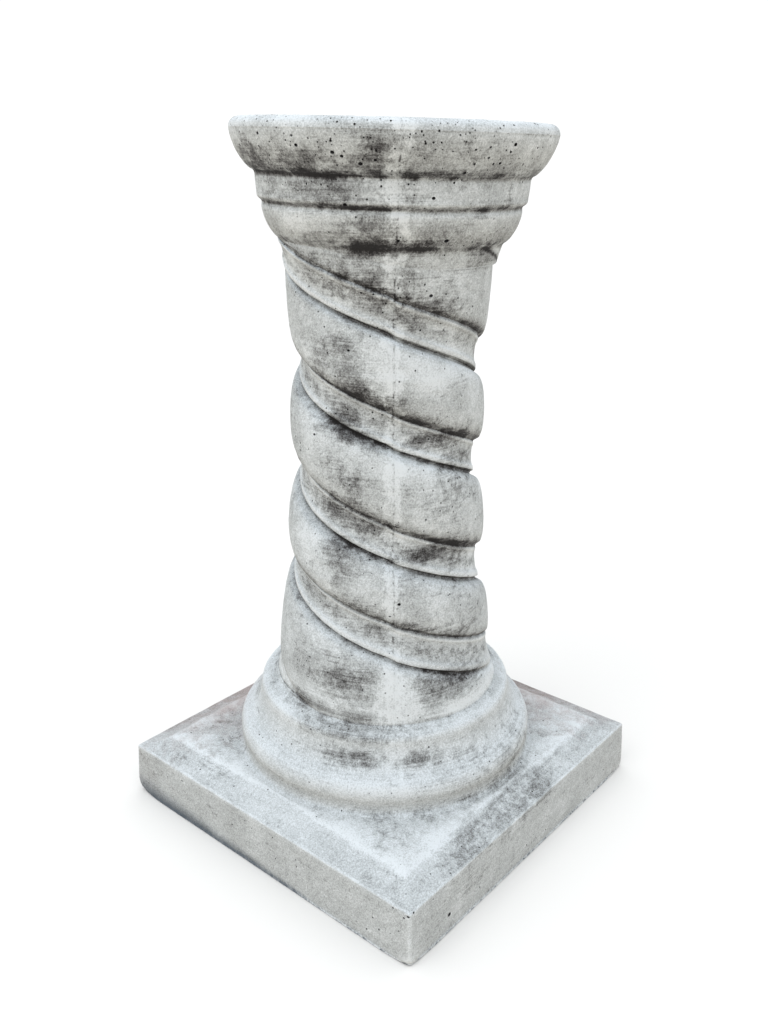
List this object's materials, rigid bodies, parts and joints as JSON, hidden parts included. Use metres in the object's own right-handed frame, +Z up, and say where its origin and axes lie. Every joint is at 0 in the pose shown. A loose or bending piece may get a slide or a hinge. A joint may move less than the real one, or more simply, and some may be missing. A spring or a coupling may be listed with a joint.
{
  "type": "twisted garden column",
  "caption": "Cast cement garden column: a twisted shaft with flat spiral bands on a turned base and square plinth, under a round moulded head that holds a pot or bowl.",
  "frame": {"origin": "centre of the plinth's underside", "axes": "+Z up along the column's axis, X and Y parallel to the plinth's sides, with the pictured corner between +X and -Y"},
  "size_m": [0.424, 0.424, 0.7537],
  "materials": {
    "cast_cement": "matt cast cement, light cool grey with darker grey patina in the creases"
  },
  "bodies": {
    "root": {"twisted_column": "cast_cement"}
  },
  "joints": []
}
